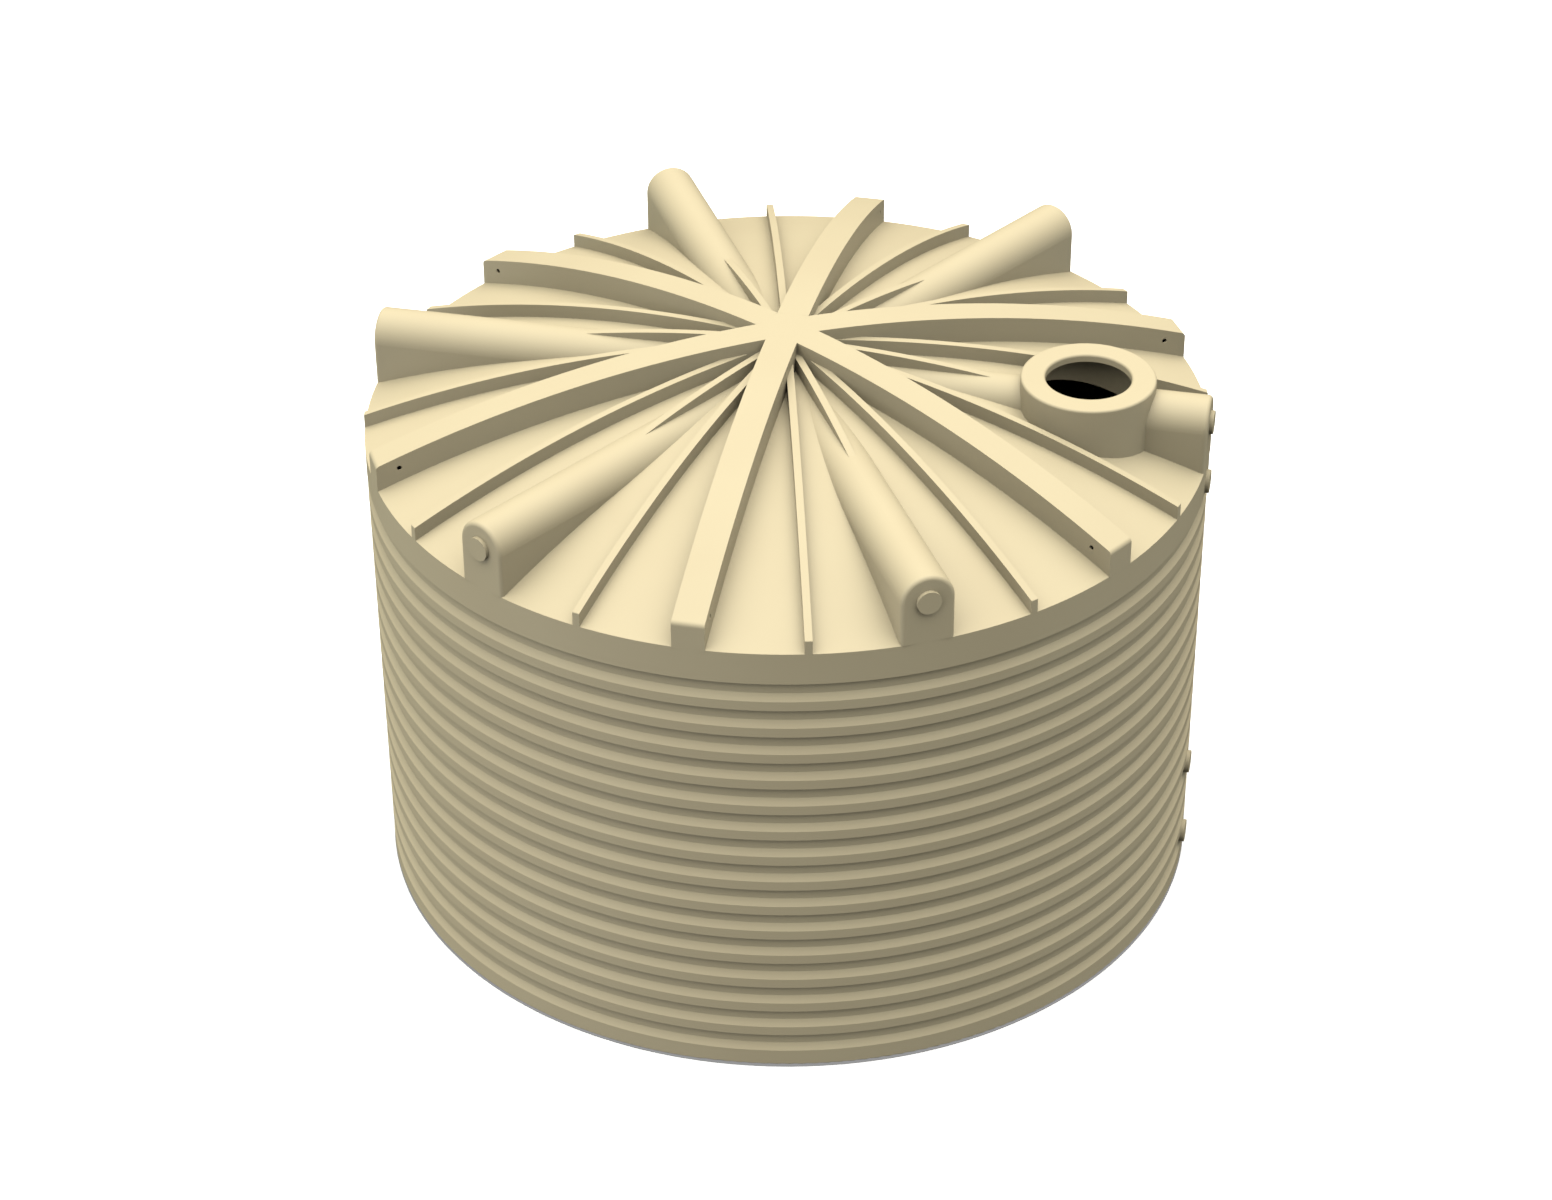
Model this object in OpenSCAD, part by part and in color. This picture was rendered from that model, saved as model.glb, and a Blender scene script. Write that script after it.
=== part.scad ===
/* [Shell] */
// Outer diameter of the tank over its bands
tank_d = 4660; // [3000:10:6000]
// Thickness of the moulded skin
skin_t = 9; // [6:1:14]
// Thickness of the floor
floor_t = 12; // [8:1:20]
// Radius of the edge round the foot of the tank
foot_round = 10; // [2:1:12]

/* [Wall] */
// Height of the plain band below the rim
top_band_h = 184; // [120:2:260]
// Grooves round the wall
groove_n = 15; // [8:1:18]
// Distance from one groove to the next
groove_pitch = 165; // [140:1:200]
// Depth of a groove
groove_depth = 22; // [12:1:40]
// Height of the upright floor of a groove
groove_floor_h = 68; // [40:1:80]
// Height of the slope below a groove floor
groove_slope_h = 41; // [20:1:50]
// Plain height left below the last pitch
base_band_h = 44; // [30:1:80]
// Wall panels round the tank
panel_n = 12; // [12:12:12]

/* [Roof] */
// Rise of the roof skin from the rim to the middle
roof_rise = 404; // [250:1:600]
// Depth of the roof edge over the wall
rim_drop = 14; // [10:1:40]
// Plain land left round the rim under the raised forms
rim_land = 30; // [20:1:60]

/* [Main ribs] */
// Width of a main rib
main_rib_w = 174; // [120:2:220]
// Height of a main rib above the skin
main_rib_h = 149; // [80:1:200]
// Radius over the outer end of a main rib
main_nose_round = 26; // [6:1:60]
// Diameter of the tie hole
tie_hole_d = 28; // [16:1:40]
// Distance of the tie hole from the rim
tie_hole_in = 126; // [80:1:200]
// Height of the tie hole above the rim
tie_hole_up = 125; // [90:1:130]

/* [Thin ribs] */
// Width of a thin rib
thin_rib_w = 40; // [28:1:60]
// Height of a thin rib above the skin
thin_rib_h = 79; // [40:1:110]
// Radius over the outer end of a thin rib
thin_nose_round = 6; // [2:1:16]

/* [Arches] */
// Width of an arch
arch_w = 290; // [200:2:340]
// Height of the arch axis above the rim
arch_axis_up = 246; // [180:1:290]
// Radius round the edge of the arch end
arch_edge_round = 22; // [12:1:60]
// Ledge of roof skin left inside each foot of an arch
arch_ledge = 30; // [10:1:60]

/* [Manhole] */
// Distance of the manhole axis in from the outside of the wall
manhole_in = 669; // [520:1:900]
// Outer diameter of the collar
collar_d = 734; // [600:2:800]
// Height of the collar top above the crown of an arch
collar_rise = 56; // [20:1:140]
// Diameter of the opening
manhole_d = 466; // [360:2:500]
// Depth of the lip round the opening
lip_depth = 44; // [20:1:60]
// Radius over the edges of the lip and collar
lip_round = 14; // [3:1:20]

/* [Pads] */
// Diameter of a pad
pad_d = 130; // [80:1:160]
// Distance that a pad stands out past the bands
pad_proud = 21; // [10:1:40]
// Height of the outlet pad above the ground
outlet_pad_z = 189; // [120:1:300]
// Height of the upper pad above the ground
tap_pad_z = 685; // [400:1:1000]
// Distance of the overflow pad below the rim
overflow_pad_down = 128; // [90:1:200]

/* [Hidden] */
tank_r = tank_d / 2;
wall_h = top_band_h + groove_n * groove_pitch + base_band_h;
wall_top = wall_h - rim_drop;
dome_r = (tank_r * tank_r + roof_rise * roof_rise) / (2 * roof_rise);
dome_cz = wall_h + roof_rise - dome_r;
rib_angle = 60;
step_angle = 15;
main_half = main_rib_w / 2;
hub_flat = main_half * sqrt(3);
spine_start = main_half / sin(rib_angle / 2);
thin_start = (main_half - thin_rib_w / 2 * cos(step_angle)) / sin(step_angle);
arch_z = wall_h + arch_axis_up;
arch_half = arch_w / 2;
slot_half = arch_half - skin_t - arch_ledge;
slot_top = arch_z + sqrt(pow(arch_half - skin_t, 2) - pow(slot_half, 2));
slot_start = dome_reach(slot_top) + arch_ledge;
manhole_out = tank_r - manhole_in;
collar_top = arch_z + arch_half + collar_rise;
panel_angle = 360 / panel_n;
big = 3 * tank_r;
fine = 720;
arc_fn = 1440;
round_fn = 48;

// Distance from the axis at which the roof line comes down to a height.
function dome_reach(z) = sqrt(dome_r * dome_r - pow(z - dome_cz, 2));

// Turns a form that lies along +X to a bearing, counted from the front towards +X.
module at_bearing(angle) {
    rotate([0, 0, angle - 90]) children();
}

// The corrugated wall line, with its grooves, moved in by an even skin.
function groove_lean() = atan(groove_depth / groove_slope_h);
function groove_top(i) = wall_h - top_band_h - i * groove_pitch;
function wall_line(inset) = [
    for (i = [0 : groove_n - 1])
    let (z = groove_top(i), lean = inset * tan(groove_lean() / 2))
    each [
        [tank_r - inset, z + inset],
        [tank_r - groove_depth - inset, z + inset],
        [tank_r - groove_depth - inset, z - groove_floor_h - lean],
        [tank_r - inset, z - groove_floor_h - groove_slope_h - lean]
    ]
];
function turned(points) = [for (i = [len(points) - 1 : -1 : 0]) points[i]];

module wall_section() {
    polygon(concat(
        [[tank_r, wall_top]],
        wall_line(0),
        [[tank_r, floor_t], [tank_r - skin_t, floor_t]],
        turned(wall_line(skin_t)),
        [[tank_r - skin_t, wall_top]]
    ));
}

module wall_core() {
    rotate_extrude($fn = fine)
    polygon(concat([[0, wall_top], [tank_r, wall_top]], wall_line(0), [[tank_r, 0], [0, 0]]));
}

module wall_panel(i) {
    color("burlywood")
    at_bearing(i * panel_angle - panel_angle / 2)
    rotate_extrude(angle = panel_angle, $fn = fine)
    wall_section();
}

module floor_plate() {
    color("tan")
    rotate_extrude($fn = fine)
    intersection() {
        union() {
            square([tank_r - foot_round, floor_t]);
            translate([0, foot_round]) square([tank_r, floor_t]);
            translate([tank_r - foot_round, foot_round]) circle(r = foot_round, $fn = round_fn);
        }
        square([tank_r, floor_t]);
    }
}

// The area below the roof line, raised or moved in from it. The circle is turned
// so that one of its drawn corners falls on the start of what is cut from it.
module under_dome(up, inset, start = 0) {
    intersection() {
        translate([0, dome_cz + up])
        rotate(-asin(start / dome_r))
        circle(r = dome_r - inset, $fn = arc_fn);
        square([tank_r - inset, big]);
    }
}

module roof_section() {
    difference() {
        intersection() {
            under_dome(0, 0);
            translate([0, wall_top]) square([tank_r, big]);
        }
        intersection() {
            under_dome(0, skin_t);
            square([tank_r - skin_t, big]);
        }
    }
}

module dome_core() {
    rotate_extrude($fn = fine)
    intersection() {
        under_dome(0, 0);
        translate([0, wall_h / 2]) square([tank_r, big]);
    }
}

// The side view of a rib, with a radius over its outer end.
module rib_side(height, inset, round, start) {
    nose = max(round - inset, 1);
    run = tank_r - inset;
    centre_z = dome_cz + height + sqrt(pow(dome_r - inset - nose, 2) - pow(run - nose, 2));
    lean = atan2(centre_z - dome_cz - height, run - nose);
    difference() {
        under_dome(height, inset, start);
        translate([run - nose, centre_z])
        polygon([
            [0, 0],
            [big * cos(lean), big * sin(lean)],
            [big, 0]
        ]);
    }
    translate([run - nose, centre_z]) circle(r = nose, $fn = round_fn);
}

module rib_form(width, height, inset, round, low, start = 0) {
    translate([0, width / 2 - inset, 0])
    rotate([90, 0, 0])
    linear_extrude(width - 2 * inset)
    intersection() {
        rib_side(height, inset, round, start);
        translate([0, low]) square([big, big]);
    }
}

module main_rib_form(inset, low) {
    rib_form(main_rib_w, main_rib_h, inset, main_nose_round, low);
}

module thin_rib_form(inset, low, start) {
    rib_form(thin_rib_w, thin_rib_h, inset, thin_nose_round, low, start);
}

module tie_hole() {
    translate([tank_r - tie_hole_in, 0, wall_h + tie_hole_up])
    rotate([90, 0, 0])
    cylinder(d = tie_hole_d, h = 2 * main_rib_w, center = true, $fn = round_fn);
}

module main_rib(k) {
    color("wheat")
    at_bearing(k * step_angle)
    difference() {
        main_rib_form(0, wall_h - rim_drop / 2);
        main_rib_form(skin_t, 0);
        dome_core();
        cube([2 * hub_flat, big, 3 * big], center = true);
        tie_hole();
    }
}

module roof_hub() {
    color("khaki")
    difference() {
        intersection() {
            rotate_extrude($fn = fine) {
                intersection() {
                    under_dome(main_rib_h, 0);
                    translate([0, wall_h]) square([2 * main_rib_w, big]);
                }
            }
            rotate([0, 0, 0]) cylinder(r = 2 * main_half, h = big, $fn = 6);
        }
        dome_core();
        for (a = [0 : rib_angle : 300]) {
            at_bearing(a) main_rib_form(skin_t, 0);
        }
    }
}

// An arch is a round top on upright sides, with one radius round its end.
module arch_plan(half, run, nose) {
    square([half, run - nose]);
    square([half - nose, run]);
    translate([half - nose, run - nose]) circle(r = nose, $fn = round_fn);
}

module arch_form(inset, low) {
    half = arch_half - inset;
    run = tank_r - inset;
    nose = max(arch_edge_round - inset, 1);
    translate([0, 0, arch_z])
    rotate([0, 90, 0])
    rotate([0, 0, 90])
    rotate_extrude(angle = 180, $fn = fine)
    arch_plan(half, run, nose);
    translate([0, 0, low])
    linear_extrude(arch_z - low) {
        rotate([0, 0, -90]) arch_plan(half, run, nose);
        mirror([0, 1, 0]) rotate([0, 0, -90]) arch_plan(half, run, nose);
    }
}

module arch_pad() {
    translate([tank_r - skin_t, 0, arch_z])
    rotate([0, 90, 0])
    cylinder(d = pad_d, h = skin_t + pad_proud, $fn = fine / 4);
}

// The arch fades into the roof, and a thin rib runs on from its crown to the hub.
module arch(k, holed = false, padded = false) {
    color("bisque")
    at_bearing(k * step_angle)
    difference() {
        union() {
            difference() {
                union() {
                    arch_form(0, wall_h);
                    thin_rib_form(0, wall_h, spine_start);
                }
                arch_form(skin_t, wall_h - rim_land);
                thin_rib_form(skin_t, wall_h - rim_land, spine_start);
            }
            if (padded) {
                arch_pad();
            }
        }
        dome_core();
        rotate([0, 0, -rib_angle / 2]) main_rib_form(0, 0);
        rotate([0, 0, rib_angle / 2]) main_rib_form(0, 0);
        if (holed) {
            manhole_plug(collar_d);
        }
    }
}

module arch_slot() {
    translate([slot_start, -slot_half, wall_h / 2])
    cube([tank_r - rim_land - slot_start, 2 * slot_half, big]);
}

module main_rib_slot() {
    translate([0, skin_t - main_half, wall_h / 2])
    cube([tank_r - rim_land, main_rib_w - 2 * skin_t, big]);
}

module manhole_plug(d) {
    translate([manhole_out, 0, wall_h - 2 * main_rib_h])
    cylinder(d = d, h = big, $fn = fine / 2);
}

// The skin is open under each raised main form, short of the rim.
module roof_panel(k, holed = false) {
    color("lemonchiffon")
    difference() {
        at_bearing(k * step_angle - rib_angle / 2)
        rotate_extrude(angle = rib_angle, $fn = fine)
        roof_section();
        at_bearing(k * step_angle) arch_slot();
        at_bearing((k - 2) * step_angle) main_rib_slot();
        at_bearing((k + 2) * step_angle) main_rib_slot();
        if (holed) {
            at_bearing(k * step_angle) manhole_plug(collar_d - 2 * skin_t);
        }
    }
}

module thin_rib(k) {
    at_bearing(k * step_angle)
    difference() {
        thin_rib_form(0, wall_h - rim_drop / 2, thin_start);
        thin_rib_form(skin_t, 0, thin_start);
        dome_core();
    }
}

module thin_ribs(k, holed = false) {
    color("navajowhite")
    difference() {
        union() {
            thin_rib(k - 1);
            thin_rib(k + 1);
        }
        at_bearing((k - 2) * step_angle) main_rib_form(0, 0);
        at_bearing((k + 2) * step_angle) main_rib_form(0, 0);
        if (holed) {
            at_bearing(k * step_angle) manhole_plug(collar_d);
        }
    }
}

module manhole_collar() {
    color("peachpuff")
    difference() {
        translate([manhole_out, 0, wall_h])
        difference() {
            cylinder(d = collar_d, h = collar_top - lip_depth - wall_h, $fn = fine / 2);
            translate([0, 0, -1])
            cylinder(d = collar_d - 2 * skin_t, h = collar_top - wall_h, $fn = fine / 2);
        }
        dome_core();
        arch_form(skin_t, 0);
    }
}

module manhole_lip() {
    outer_r = collar_d / 2;
    inner_r = manhole_d / 2;
    color("moccasin")
    translate([manhole_out, 0, collar_top - lip_depth])
    rotate_extrude($fn = fine / 2)
    difference() {
        union() {
            translate([inner_r, 0])
            square([outer_r - inner_r - lip_round, lip_depth]);
            translate([inner_r, 0])
            square([outer_r - inner_r, lip_depth - lip_round]);
            translate([outer_r - lip_round, lip_depth - lip_round])
            circle(r = lip_round, $fn = round_fn);
        }
        translate([inner_r + skin_t, -1])
        square([outer_r - inner_r - 2 * skin_t, lip_depth - skin_t + 1]);
        difference() {
            translate([inner_r - 1, lip_depth - lip_round])
            square([lip_round + 1, lip_round + 1]);
            translate([inner_r + lip_round, lip_depth - lip_round])
            circle(r = lip_round, $fn = round_fn);
        }
    }
}

module wall_pad(z) {
    translate([tank_r - groove_depth - skin_t, 0, z])
    rotate([0, 90, 0])
    cylinder(d = pad_d, h = groove_depth + skin_t + pad_proud, $fn = fine / 4);
}

module outlet_pads() {
    color("sandybrown")
    difference() {
        union() {
            wall_pad(outlet_pad_z);
            wall_pad(tap_pad_z);
            wall_pad(wall_h - overflow_pad_down);
        }
        wall_core();
    }
}

floor_plate();  // floor
wall_panel(0);  // wall_panel_01
wall_panel(1);  // wall_panel_02
wall_panel(2);  // wall_panel_03
wall_panel(3);  // wall_panel_04
wall_panel(4);  // wall_panel_05
wall_panel(5);  // wall_panel_06
wall_panel(6);  // wall_panel_07
wall_panel(7);  // wall_panel_08
wall_panel(8);  // wall_panel_09
wall_panel(9);  // wall_panel_10
wall_panel(10);  // wall_panel_11
wall_panel(11);  // wall_panel_12
roof_panel(2);  // roof_panel_1
roof_panel(6, holed = true);  // roof_panel_2
roof_panel(10);  // roof_panel_3
roof_panel(14);  // roof_panel_4
roof_panel(18);  // roof_panel_5
roof_panel(22);  // roof_panel_6
roof_hub();
main_rib(0);  // main_rib_1
main_rib(4);  // main_rib_2
main_rib(8);  // main_rib_3
main_rib(12);  // main_rib_4
main_rib(16);  // main_rib_5
main_rib(20);  // main_rib_6
arch(2, padded = true);  // arch_1
arch(6, holed = true, padded = true);  // arch_2
arch(10);  // arch_3
arch(14);  // arch_4
arch(18);  // arch_5
arch(22, padded = true);  // arch_6
thin_ribs(2);  // thin_ribs_1
thin_ribs(6, true);  // thin_ribs_2
thin_ribs(10);  // thin_ribs_3
thin_ribs(14);  // thin_ribs_4
thin_ribs(18);  // thin_ribs_5
thin_ribs(22);  // thin_ribs_6
manhole_collar();
manhole_lip();
outlet_pads();
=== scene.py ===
"""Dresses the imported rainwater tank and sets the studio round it.

Everything is in metres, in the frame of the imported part: +Z goes up, +X goes through
the manhole, and -Y goes through the main rib at the front.
"""

import logging
import math
from dataclasses import dataclass

import bmesh
import bpy
from mathutils import Euler, Matrix, Vector

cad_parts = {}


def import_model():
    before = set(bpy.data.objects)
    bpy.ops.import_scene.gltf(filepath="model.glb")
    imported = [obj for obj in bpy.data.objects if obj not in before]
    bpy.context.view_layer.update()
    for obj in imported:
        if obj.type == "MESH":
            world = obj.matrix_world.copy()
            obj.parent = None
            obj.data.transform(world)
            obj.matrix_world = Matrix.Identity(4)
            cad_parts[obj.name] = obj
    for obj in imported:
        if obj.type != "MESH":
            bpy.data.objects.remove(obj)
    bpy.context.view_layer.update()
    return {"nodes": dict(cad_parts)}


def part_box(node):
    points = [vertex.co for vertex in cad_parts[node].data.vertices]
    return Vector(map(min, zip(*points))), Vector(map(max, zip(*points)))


LOG = logging.getLogger("tank")
MM_PER_M = 1000.0
RIGHT_ANGLE_DEG = 90.0

Colour = tuple[float, float, float, float]
WHITE: Colour = (1.0, 1.0, 1.0, 1.0)
BYTE_MAX = 255.0

# The sRGB curve is a straight line up to its knee, and a power above it.
SRGB_KNEE = 0.04045
SRGB_SLOPE = 12.92
SRGB_OFFSET = 0.055
SRGB_POWER = 2.4

# A Mix node has sockets of the same name for numbers, vectors and colours, so those for
# colours go by number.
MIX_FACTOR, MIX_FROM, MIX_TO = 0, 6, 7
MIX_RESULT = 2


def linear(code: str) -> Colour:
    """Turn an sRGB hex colour into a linear one.

    Args:
        code: Six hex digits, with or without a leading mark.

    Returns:
        Red, green, blue and an alpha of one.
    """
    out = []
    for byte in bytes.fromhex(code.lstrip("#")):
        level = byte / BYTE_MAX
        if level <= SRGB_KNEE:
            out.append(level / SRGB_SLOPE)
        else:
            out.append(((level + SRGB_OFFSET) / (1.0 + SRGB_OFFSET)) ** SRGB_POWER)
    return (*out, 1.0)


def empty_tree(owner: bpy.types.Material | bpy.types.World) -> bpy.types.NodeTree:
    """Switch a material or a world to nodes, with none in it yet.

    Args:
        owner: The material or the world.

    Returns:
        Its empty node tree.
    """
    owner.use_nodes = True
    owner.node_tree.nodes.clear()
    return owner.node_tree


def add_node(
    tree: bpy.types.NodeTree,
    kind: str,
    settings: dict[str | int, object] | None = None,
    links: dict[str | int, bpy.types.NodeSocket] | None = None,
) -> bpy.types.Node:
    """Add a node with its settings and its incoming links.

    Args:
        tree: The node tree that gets the node.
        kind: The node's type name.
        settings: Properties of the node, or values of its inputs by name or number.
        links: The sockets that feed its inputs, by name or number.

    Returns:
        The new node.
    """
    node = tree.nodes.new(kind)
    for key, value in (settings or {}).items():
        if isinstance(key, str) and hasattr(node, key):
            setattr(node, key, value)
        else:
            node.inputs[key].default_value = value
    for key, socket in (links or {}).items():
        tree.links.new(socket, node.inputs[key])
    return node


@dataclass(frozen=True)
class Mottle:
    """A cloudy pattern: the distance between its patches, and its finer layers."""

    size_mm: float
    layers: float


@dataclass(frozen=True)
class RotomouldedPolyethylene:
    """Cream linear low-density polyethylene, rotationally moulded.

    The powder sinters against a blasted steel mould, with no pressure behind it. So the
    skin is waxy and nearly matt, with a grain of the mould's blasting and a faint orange
    peel, and where the wall set thicker it looks a shade deeper.
    """

    name: str = "rotomoulded_polyethylene"
    thin_colour: str = "#F7E8C0"
    thick_colour: str = "#F2E1B9"
    roughness: float = 0.52
    roughness_swing: float = 0.06
    ior: float = 1.51
    thickness: Mottle = Mottle(size_mm=620.0, layers=3.0)
    peel: Mottle = Mottle(size_mm=22.0, layers=1.0)
    # The real grain is under 1 mm, and it is drawn as coarse as it needs to show.
    grain: Mottle = Mottle(size_mm=5.0, layers=2.0)
    layer_fade: float = 0.5
    peel_depth_mm: float = 0.25
    grain_depth_mm: float = 0.2
    bump_strength: float = 0.5

    def build(self) -> bpy.types.Material:
        """Make the material.

        Returns:
            The material.
        """
        material = bpy.data.materials.new(self.name)
        tree = empty_tree(material)
        place = add_node(tree, "ShaderNodeTexCoord").outputs["Object"]
        thickness, peel, grain = (
            add_node(
                tree,
                "ShaderNodeTexNoise",
                {
                    "Scale": MM_PER_M / mottle.size_mm,
                    "Detail": mottle.layers,
                    "Roughness": self.layer_fade,
                },
                {"Vector": place},
            ).outputs["Fac"]
            for mottle in (self.thickness, self.peel, self.grain)
        )
        colour = add_node(
            tree,
            "ShaderNodeMix",
            {
                "data_type": "RGBA",
                MIX_FROM: linear(self.thin_colour),
                MIX_TO: linear(self.thick_colour),
            },
            {MIX_FACTOR: thickness},
        )
        rough = add_node(
            tree,
            "ShaderNodeMapRange",
            {
                "To Min": self.roughness - self.roughness_swing,
                "To Max": self.roughness + self.roughness_swing,
            },
            {"Value": grain},
        )
        waves = add_node(
            tree,
            "ShaderNodeBump",
            {"Strength": self.bump_strength, "Distance": self.peel_depth_mm / MM_PER_M},
            {"Height": peel},
        )
        relief = add_node(
            tree,
            "ShaderNodeBump",
            {"Strength": self.bump_strength, "Distance": self.grain_depth_mm / MM_PER_M},
            {"Height": grain, "Normal": waves.outputs["Normal"]},
        )
        shader = add_node(
            tree,
            "ShaderNodeBsdfPrincipled",
            {"IOR": self.ior},
            {
                "Base Color": colour.outputs[MIX_RESULT],
                "Roughness": rough.outputs["Result"],
                "Normal": relief.outputs["Normal"],
            },
        )
        add_node(tree, "ShaderNodeOutputMaterial", links={"Surface": shader.outputs["BSDF"]})
        return material


@dataclass(frozen=True)
class StudioPaper:
    """Matt white paper that returns more than it gets, so that no soft shadow shows on it."""

    name: str = "studio_paper"
    gain: float = 2.2

    def build(self) -> bpy.types.Material:
        """Make the material.

        Returns:
            The material.
        """
        material = bpy.data.materials.new(self.name)
        tree = empty_tree(material)
        paper = add_node(
            tree, "ShaderNodeBsdfDiffuse", {"Color": (self.gain, self.gain, self.gain, 1.0)}
        )
        add_node(tree, "ShaderNodeOutputMaterial", links={"Surface": paper.outputs["BSDF"]})
        return material


@dataclass(frozen=True)
class ShadowGrey:
    """The even grey of the shadow that the base leaves on the paper."""

    name: str = "studio_shadow"
    colour: str = "#969696"

    def build(self) -> bpy.types.Material:
        """Make the material.

        Returns:
            The material.
        """
        material = bpy.data.materials.new(self.name)
        tree = empty_tree(material)
        grey = add_node(tree, "ShaderNodeEmission", {"Color": linear(self.colour)})
        add_node(tree, "ShaderNodeOutputMaterial", links={"Surface": grey.outputs["Emission"]})
        return material


@dataclass(frozen=True)
class Tank:
    """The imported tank, dressed node by node."""

    finish: RotomouldedPolyethylene = RotomouldedPolyethylene()

    def dress(self, nodes: dict[str, bpy.types.Object]) -> list[str]:
        """Give every node its material.

        Args:
            nodes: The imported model's nodes by name.

        Returns:
            The names of the nodes.
        """
        skin = self.finish.build()
        for node in nodes.values():
            node.data.materials.clear()
            node.data.materials.append(skin)
        return list(nodes)


@dataclass(frozen=True)
class SoftPanel:
    """One broad patch of light in the surround.

    The bearing runs from the front rib, at -Y, towards the manhole, at +X. A greater
    sharpness makes the patch narrower.
    """

    bearing_deg: float
    height_deg: float
    sharpness: float
    strength: float
    tint: str

    def direction(self) -> tuple[float, float, float]:
        """Point from the tank to the middle of the panel.

        Returns:
            A vector of length one.
        """
        turn, lift = math.radians(self.bearing_deg), math.radians(self.height_deg)
        return (math.sin(turn) * math.cos(lift), -math.cos(turn) * math.cos(lift), math.sin(lift))


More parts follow.
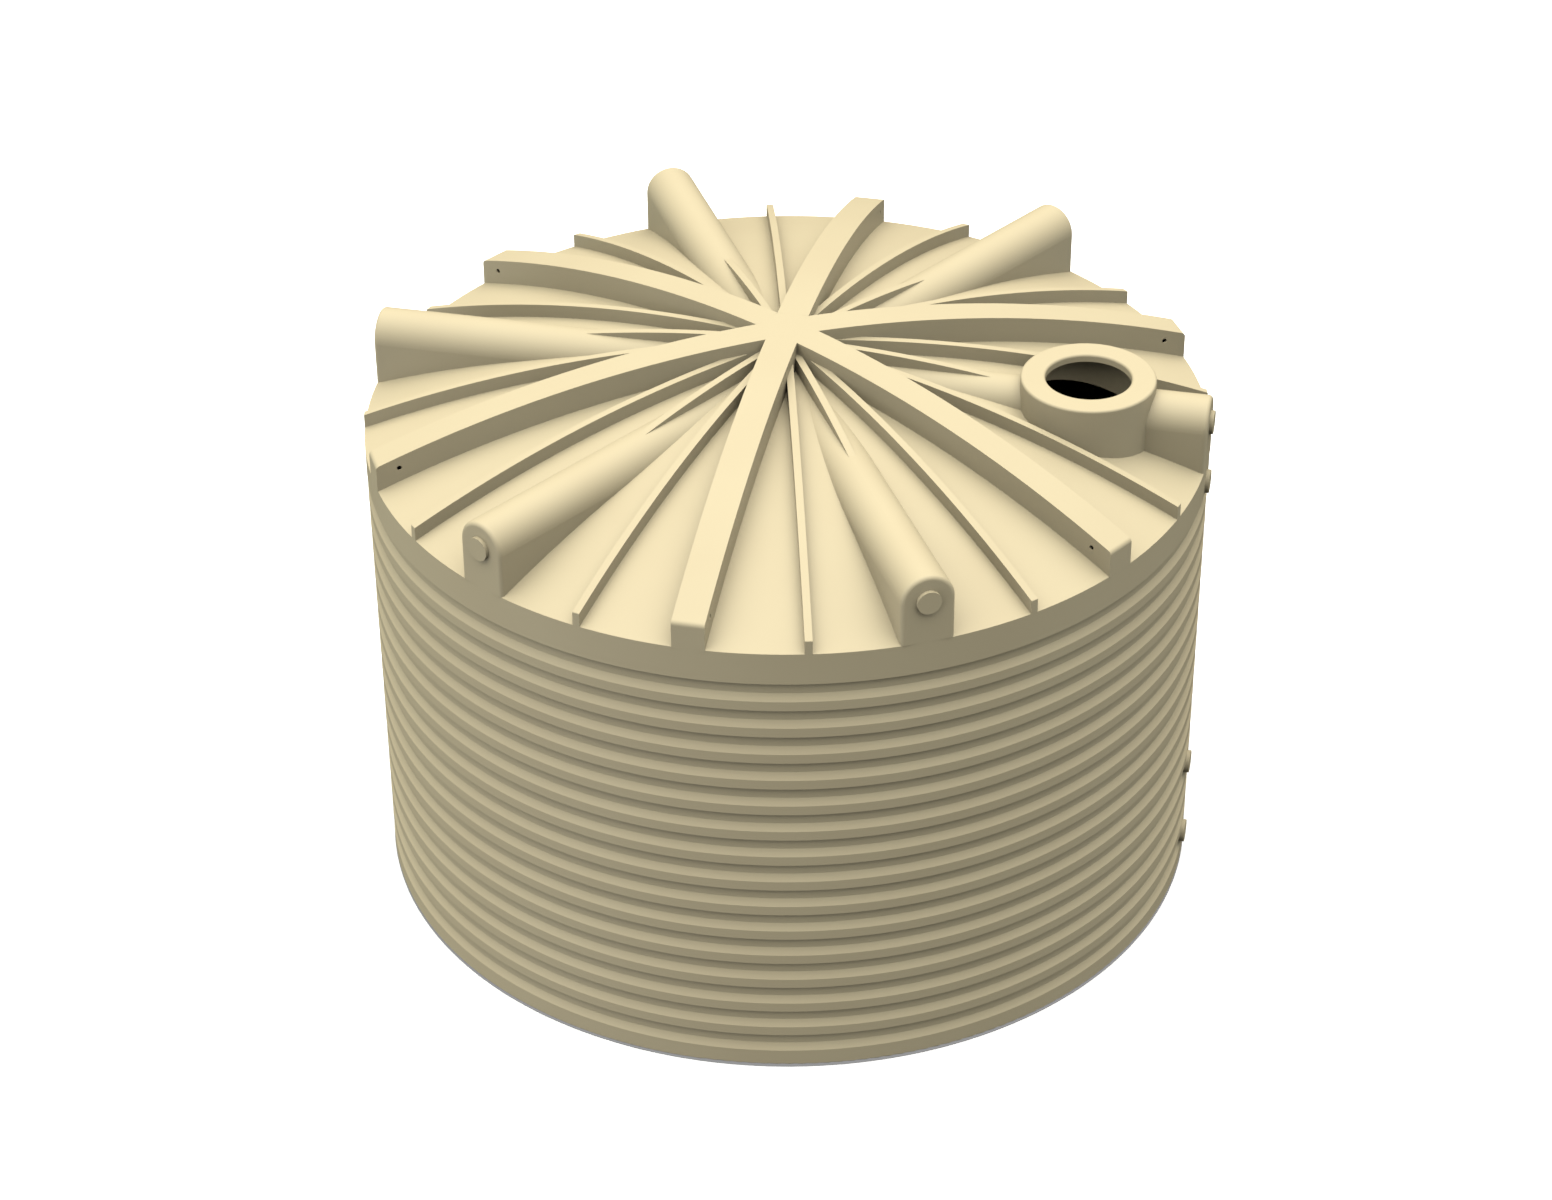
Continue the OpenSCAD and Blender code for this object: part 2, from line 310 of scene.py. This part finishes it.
@dataclass(frozen=True)
class Studio:
    """White paper under three broad soft boxes, with three weak fills at the sides.

    The photograph is cut out on plain white and keeps only a thin line of shadow in front
    of the base. So the surround is white to the camera, and a grey disc on the floor, a
    little to the front of the tank, stands in for that line.
    """

    paper: StudioPaper = StudioPaper()
    floor_half: float = 60.0
    floor_drop: float = 0.001
    shadow: ShadowGrey = ShadowGrey()
    shadow_shift: float = 0.016
    shadow_bearing_deg: float = 12.5
    shadow_drop: float = 0.0005
    shadow_sides: int = 512
    backdrop: float = 1.0
    diffuse_bounces: int = 0
    panels: tuple[SoftPanel, ...] = (
        SoftPanel(bearing_deg=180.0, height_deg=60.0, sharpness=6.0, strength=1.94, tint="#FFF9EC"),
        SoftPanel(bearing_deg=-60.0, height_deg=60.0, sharpness=6.0, strength=1.53, tint="#FFFFF9"),
        SoftPanel(bearing_deg=60.0, height_deg=60.0, sharpness=6.0, strength=1.46, tint="#FDFFFE"),
        SoftPanel(bearing_deg=-105.0, height_deg=-5.0, sharpness=10.0, strength=0.60, tint="#F5FFED"),
        SoftPanel(bearing_deg=-45.0, height_deg=-5.0, sharpness=10.0, strength=0.98, tint="#F3F7FF"),
        SoftPanel(bearing_deg=105.0, height_deg=-5.0, sharpness=10.0, strength=0.58, tint="#F5FDFF"),
    )

    @staticmethod
    def lay(
        name: str, shape: bmesh.types.BMesh, finish: bpy.types.Material
    ) -> bpy.types.Object:
        """Lay a sheet that throws no light and no shade on the tank.

        Args:
            name: The sheet's name.
            shape: The sheet's shape, which is freed.
            finish: The sheet's material.

        Returns:
            The sheet.
        """
        mesh = bpy.data.meshes.new(name)
        shape.to_mesh(mesh)
        shape.free()
        mesh.materials.append(finish)
        sheet = bpy.data.objects.new(name, mesh)
        sheet.visible_diffuse = False
        sheet.visible_glossy = False
        sheet.visible_shadow = False
        bpy.context.scene.collection.objects.link(sheet)
        return sheet

    def build_floor(self) -> bpy.types.Object:
        """Make the floor, just under the tank.

        Returns:
            The floor.
        """
        shape = bmesh.new()
        bmesh.ops.create_grid(shape, x_segments=1, y_segments=1, size=self.floor_half)
        bmesh.ops.translate(shape, vec=(0.0, 0.0, -self.floor_drop), verts=shape.verts)
        return self.lay("studio_floor", shape, self.paper.build())

    def build_contact_shadow(self) -> bpy.types.Object:
        """Make the disc that stands in for the line of shadow, as wide as the tank's foot.

        Returns:
            The disc.
        """
        turn = math.radians(self.shadow_bearing_deg)
        shift = (
            math.sin(turn) * self.shadow_shift,
            -math.cos(turn) * self.shadow_shift,
            -self.shadow_drop,
        )
        foot_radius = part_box("floor")[1].x
        shape = bmesh.new()
        bmesh.ops.create_circle(
            shape, cap_ends=True, segments=self.shadow_sides, radius=foot_radius
        )
        bmesh.ops.translate(shape, vec=shift, verts=shape.verts)
        return self.lay("studio_contact_shadow", shape, self.shadow.build())

    def build_surround(self) -> None:
        """Make the soft boxes and fills, and the white that only the camera sees."""
        world = bpy.data.worlds.new("studio_surround")
        tree = empty_tree(world)
        sky = add_node(tree, "ShaderNodeTexCoord").outputs["Generated"]
        light = add_node(tree, "ShaderNodeBackground", {"Strength": 0.0}).outputs["Background"]
        for panel in self.panels:
            # A direction gets the more light, the nearer it is to the panel's middle.
            level = add_node(
                tree,
                "ShaderNodeVectorMath",
                {"operation": "DOT_PRODUCT", 1: panel.direction()},
                {0: sky},
            ).outputs["Value"]
            for step, number in (
                ("MAXIMUM", 0.0),
                ("POWER", panel.sharpness),
                ("MULTIPLY", panel.strength),
            ):
                level = add_node(
                    tree, "ShaderNodeMath", {"operation": step, 1: number}, {0: level}
                ).outputs["Value"]
            patch = add_node(
                tree, "ShaderNodeBackground", {"Color": linear(panel.tint)}, {"Strength": level}
            ).outputs["Background"]
            both = add_node(tree, "ShaderNodeAddShader", links={0: light, 1: patch})
            light = both.outputs["Shader"]
        camera_ray = add_node(tree, "ShaderNodeLightPath").outputs["Is Camera Ray"]
        backdrop = add_node(
            tree, "ShaderNodeBackground", {"Color": WHITE, "Strength": self.backdrop}
        ).outputs["Background"]
        seen = add_node(
            tree, "ShaderNodeMixShader", links={0: camera_ray, 1: light, 2: backdrop}
        ).outputs["Shader"]
        add_node(tree, "ShaderNodeOutputWorld", links={"Surface": seen})
        bpy.context.scene.world = world

    def build(self) -> list[bpy.types.Object]:
        """Make the whole studio.

        Returns:
            The floor and the contact shadow.
        """
        sheets = [self.build_floor(), self.build_contact_shadow()]
        self.build_surround()
        scene = bpy.context.scene
        scene.view_settings.view_transform = "Standard"
        # The photograph has almost no light thrown back from the roof onto the ribs.
        scene.cycles.diffuse_bounces = self.diffuse_bounces
        return sheets


@dataclass(frozen=True)
class PhotoCamera:
    """The camera that took the photograph, found from the rim, ribs and wall.

    The heading turns left from +Y, and the pitch goes down from level.
    """

    place: tuple[float, float, float] = (3.7857, -17.1152, 13.2545)
    heading_deg: float = 12.6983
    pitch_deg: float = 33.920
    roll_deg: float = -0.336
    lens_mm: float = 85.698
    sensor_mm: float = 36.0
    view_end: float = 200.0

    def build(self) -> bpy.types.Object:
        """Make the camera and use it.

        Returns:
            The camera object.
        """
        data = bpy.data.cameras.new("photo_camera")
        data.sensor_fit = "HORIZONTAL"
        data.sensor_width = self.sensor_mm
        data.lens = self.lens_mm
        data.clip_end = self.view_end
        camera = bpy.data.objects.new("photo_camera", data)
        # Unturned, a camera looks straight down.
        tilt = math.radians(RIGHT_ANGLE_DEG - self.pitch_deg)
        turn = Euler((tilt, 0.0, math.radians(self.heading_deg))).to_matrix()
        turn = turn @ Matrix.Rotation(math.radians(self.roll_deg), 3, "Z")
        camera.matrix_world = Matrix.Translation(Vector(self.place)) @ turn.to_4x4()
        bpy.context.scene.collection.objects.link(camera)
        bpy.context.scene.camera = camera
        return camera


def main() -> None:
    """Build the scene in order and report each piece."""
    logging.basicConfig(level=logging.INFO, format="%(name)s: %(message)s")
    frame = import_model()
    for node in Tank().dress(frame["nodes"]):
        LOG.info("dressed %s", node)
    for piece in (*Studio().build(), PhotoCamera().build()):
        LOG.info("placed %s", piece.name)


if __name__ == "__main__":
    main()
